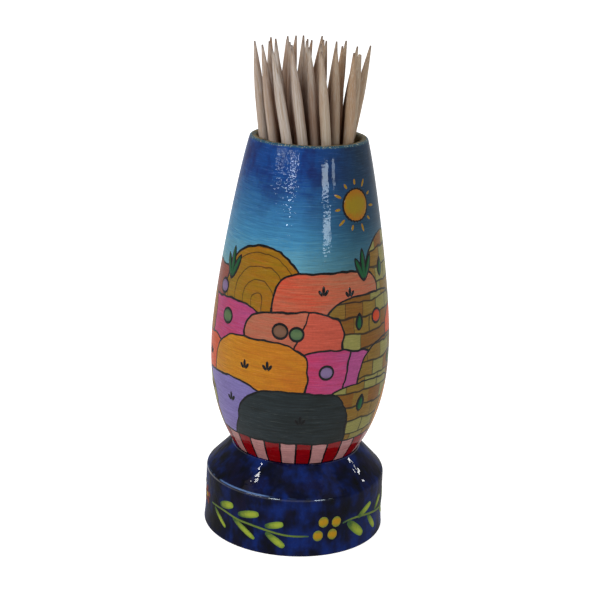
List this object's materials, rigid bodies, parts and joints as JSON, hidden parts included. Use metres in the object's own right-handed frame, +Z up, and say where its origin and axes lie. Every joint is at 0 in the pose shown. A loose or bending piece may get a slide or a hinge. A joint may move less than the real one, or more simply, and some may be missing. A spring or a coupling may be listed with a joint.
{
  "type": "toothpick dispenser",
  "caption": "Open turned wooden toothpick holder: a painted bellied cup glued by a tenon into a bevelled foot, with loose toothpicks standing in its drilled bore.",
  "frame": {"origin": "centre of the foot's flat underside, on the surface the holder stands on", "axes": "+Z up along the turning axis, towards the mouth; -Y is the side seen from the front; X is to the side"},
  "size_m": [0.0402, 0.0402, 0.1083],
  "materials": {
    "painted_cup": "hand painted and varnished, high gloss",
    "painted_foot": "deep blue paint under high-gloss varnish",
    "birch": "bare birch, matt"
  },
  "bodies": {
    "holder": {"foot": "painted_foot", "cup": "painted_cup"},
    "toothpick_01": {"toothpick_01": "birch"},
    "toothpick_02": {"toothpick_02": "birch"},
    "toothpick_03": {"toothpick_03": "birch"},
    "toothpick_04": {"toothpick_04": "birch"},
    "toothpick_05": {"toothpick_05": "birch"},
    "toothpick_06": {"toothpick_06": "birch"},
    "toothpick_07": {"toothpick_07": "birch"},
    "toothpick_08": {"toothpick_08": "birch"},
    "toothpick_09": {"toothpick_09": "birch"},
    "toothpick_10": {"toothpick_10": "birch"},
    "toothpick_11": {"toothpick_11": "birch"},
    "toothpick_12": {"toothpick_12": "birch"},
    "toothpick_13": {"toothpick_13": "birch"},
    "toothpick_14": {"toothpick_14": "birch"},
    "toothpick_15": {"toothpick_15": "birch"},
    "toothpick_16": {"toothpick_16": "birch"},
    "toothpick_17": {"toothpick_17": "birch"},
    "toothpick_18": {"toothpick_18": "birch"},
    "toothpick_19": {"toothpick_19": "birch"},
    "toothpick_20": {"toothpick_20": "birch"},
    "toothpick_21": {"toothpick_21": "birch"},
    "toothpick_22": {"toothpick_22": "birch"},
    "toothpick_23": {"toothpick_23": "birch"},
    "toothpick_24": {"toothpick_24": "birch"},
    "toothpick_25": {"toothpick_25": "birch"},
    "toothpick_26": {"toothpick_26": "birch"},
    "toothpick_27": {"toothpick_27": "birch"},
    "toothpick_28": {"toothpick_28": "birch"},
    "toothpick_29": {"toothpick_29": "birch"},
    "toothpick_30": {"toothpick_30": "birch"},
    "toothpick_31": {"toothpick_31": "birch"},
    "toothpick_32": {"toothpick_32": "birch"}
  },
  "joints": [
    {"name": "toothpick_01_draw", "type": "slide", "parent": "holder", "child": "toothpick_01", "axis": [-0.019, 0.0298, 0.9994], "range_m": [0, 0.068]},
    {"name": "toothpick_02_draw", "type": "slide", "parent": "holder", "child": "toothpick_02", "axis": [0.0519, -0.0127, 0.9986], "range_m": [0, 0.068]},
    {"name": "toothpick_03_draw", "type": "slide", "parent": "holder", "child": "toothpick_03", "axis": [-0.0567, -0.0366, 0.9977], "range_m": [0, 0.068]},
    {"name": "toothpick_04_draw", "type": "slide", "parent": "holder", "child": "toothpick_04", "axis": [0.0138, 0.0748, 0.9971], "range_m": [0, 0.068]},
    {"name": "toothpick_05_draw", "type": "slide", "parent": "holder", "child": "toothpick_05", "axis": [0.0448, -0.0659, 0.9968], "range_m": [0, 0.068]},
    {"name": "toothpick_06_draw", "type": "slide", "parent": "holder", "child": "toothpick_06", "axis": [-0.079, 0.0204, 0.9967], "range_m": [0, 0.068]},
    {"name": "toothpick_07_draw", "type": "slide", "parent": "holder", "child": "toothpick_07", "axis": [0.0783, 0.0358, 0.9963], "range_m": [0, 0.068]},
    {"name": "toothpick_08_draw", "type": "slide", "parent": "holder", "child": "toothpick_08", "axis": [-0.041, -0.0857, 0.9955], "range_m": [0, 0.068]},
    {"name": "toothpick_09_draw", "type": "slide", "parent": "holder", "child": "toothpick_09", "axis": [-0.0308, 0.1013, 0.9944], "range_m": [0, 0.068]},
    {"name": "toothpick_10_draw", "type": "slide", "parent": "holder", "child": "toothpick_10", "axis": [0.1009, -0.0547, 0.9934], "range_m": [0, 0.068]},
    {"name": "toothpick_11_draw", "type": "slide", "parent": "holder", "child": "toothpick_11", "axis": [-0.1141, -0.034, 0.9929], "range_m": [0, 0.068]},
    {"name": "toothpick_12_draw", "type": "slide", "parent": "holder", "child": "toothpick_12", "axis": [0.0592, 0.1037, 0.9928], "range_m": [0, 0.068]},
    {"name": "toothpick_13_draw", "type": "slide", "parent": "holder", "child": "toothpick_13", "axis": [0.0243, -0.1168, 0.9929], "range_m": [0, 0.068]},
    {"name": "toothpick_14_draw", "type": "slide", "parent": "holder", "child": "toothpick_14", "axis": [-0.0963, 0.0758, 0.9925], "range_m": [0, 0.068]},
    {"name": "toothpick_15_draw", "type": "slide", "parent": "holder", "child": "toothpick_15", "axis": [-0.0983, -0.0991, 0.9902], "range_m": [0, 0.068]},
    {"name": "toothpick_16_draw", "type": "slide", "parent": "holder", "child": "toothpick_16", "axis": [0.0013, 0.1465, 0.9892], "range_m": [0, 0.068]},
    {"name": "toothpick_17_draw", "type": "slide", "parent": "holder", "child": "toothpick_17", "axis": [0.1034, -0.1074, 0.9888], "range_m": [0, 0.068]},
    {"name": "toothpick_18_draw", "type": "slide", "parent": "holder", "child": "toothpick_18", "axis": [-0.148, 0.0074, 0.989], "range_m": [0, 0.068]},
    {"name": "toothpick_19_draw", "type": "slide", "parent": "holder", "child": "toothpick_19", "axis": [0.1152, 0.0919, 0.9891], "range_m": [0, 0.068]},
    {"name": "toothpick_20_draw", "type": "slide", "parent": "holder", "child": "toothpick_20", "axis": [-0.0285, -0.1477, 0.9886], "range_m": [0, 0.068]},
    {"name": "toothpick_21_draw", "type": "slide", "parent": "holder", "child": "toothpick_21", "axis": [-0.0796, 0.1363, 0.9875], "range_m": [0, 0.068]},
    {"name": "toothpick_22_draw", "type": "slide", "parent": "holder", "child": "toothpick_22", "axis": [-0.1529, -0.0787, 0.9851], "range_m": [0, 0.068]},
    {"name": "toothpick_23_draw", "type": "slide", "parent": "holder", "child": "toothpick_23", "axis": [0.0555, 0.1641, 0.9849], "range_m": [0, 0.068]},
    {"name": "toothpick_24_draw", "type": "slide", "parent": "holder", "child": "toothpick_24", "axis": [0.0704, -0.1564, 0.9852], "range_m": [0, 0.068]},
    {"name": "toothpick_25_draw", "type": "slide", "parent": "holder", "child": "toothpick_25", "axis": [-0.1555, 0.0704, 0.9853], "range_m": [0, 0.068]},
    {"name": "toothpick_26_draw", "type": "slide", "parent": "holder", "child": "toothpick_26", "axis": [-0.0961, -0.1535, 0.9835], "range_m": [0, 0.068]},
    {"name": "toothpick_27_draw", "type": "slide", "parent": "holder", "child": "toothpick_27", "axis": [-0.0359, 0.1854, 0.982], "range_m": [0, 0.068]},
    {"name": "toothpick_28_draw", "type": "slide", "parent": "holder", "child": "toothpick_28", "axis": [0.1584, -0.1112, 0.9811], "range_m": [0, 0.068]},
    {"name": "toothpick_29_draw", "type": "slide", "parent": "holder", "child": "toothpick_29", "axis": [-0.1916, -0.0294, 0.981], "range_m": [0, 0.068]},
    {"name": "toothpick_30_draw", "type": "slide", "parent": "holder", "child": "toothpick_30", "axis": [0.1196, 0.1498, 0.9815], "range_m": [0, 0.068]},
    {"name": "toothpick_31_draw", "type": "slide", "parent": "holder", "child": "toothpick_31", "axis": [0.0092, -0.1907, 0.9816], "range_m": [0, 0.068]},
    {"name": "toothpick_32_draw", "type": "slide", "parent": "holder", "child": "toothpick_32", "axis": [-0.1345, 0.1405, 0.9809], "range_m": [0, 0.068]}
  ]
}
